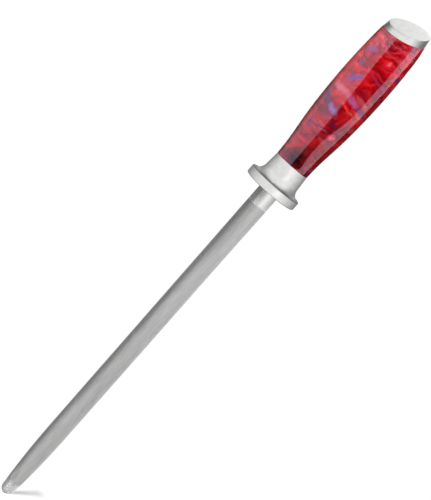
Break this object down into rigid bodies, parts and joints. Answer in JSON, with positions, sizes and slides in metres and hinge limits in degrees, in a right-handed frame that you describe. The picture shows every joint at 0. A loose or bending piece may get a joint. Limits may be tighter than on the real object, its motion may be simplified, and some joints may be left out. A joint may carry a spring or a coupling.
{
  "type": "knife sharpening steel",
  "caption": "Knife sharpening steel: ridged round rod with a blunt tapered tip, round guard and ferrule, swelling resin handle and slanted steel end cap.",
  "frame": {"origin": "on the rod's axis, in the plane of the guard's lower face, which rests on a knife block when the rod hangs in its slot", "axes": "+Z along the rod's axis towards the butt, so the rod's tip is at the lowest Z; the end cap's low side faces -Y and its slant is symmetric about the YZ plane"},
  "size_m": [0.0346, 0.0346, 0.3791],
  "materials": {
    "honed_steel": "fine lengthwise ridges, satin",
    "satin_steel": "satin turned",
    "red_resin": "marbled cast resin, polished",
    "zinc_plate": "bright zinc plating"
  },
  "bodies": {
    "root": {"steel_rod": "honed_steel", "guard_bolster": "satin_steel", "handle_body": "red_resin", "end_cap": "satin_steel", "tang_washer": "zinc_plate", "lock_washer": "zinc_plate", "tang_nut": "zinc_plate", "cap_dowel_left": "zinc_plate", "cap_dowel_right": "zinc_plate"}
  },
  "joints": []
}
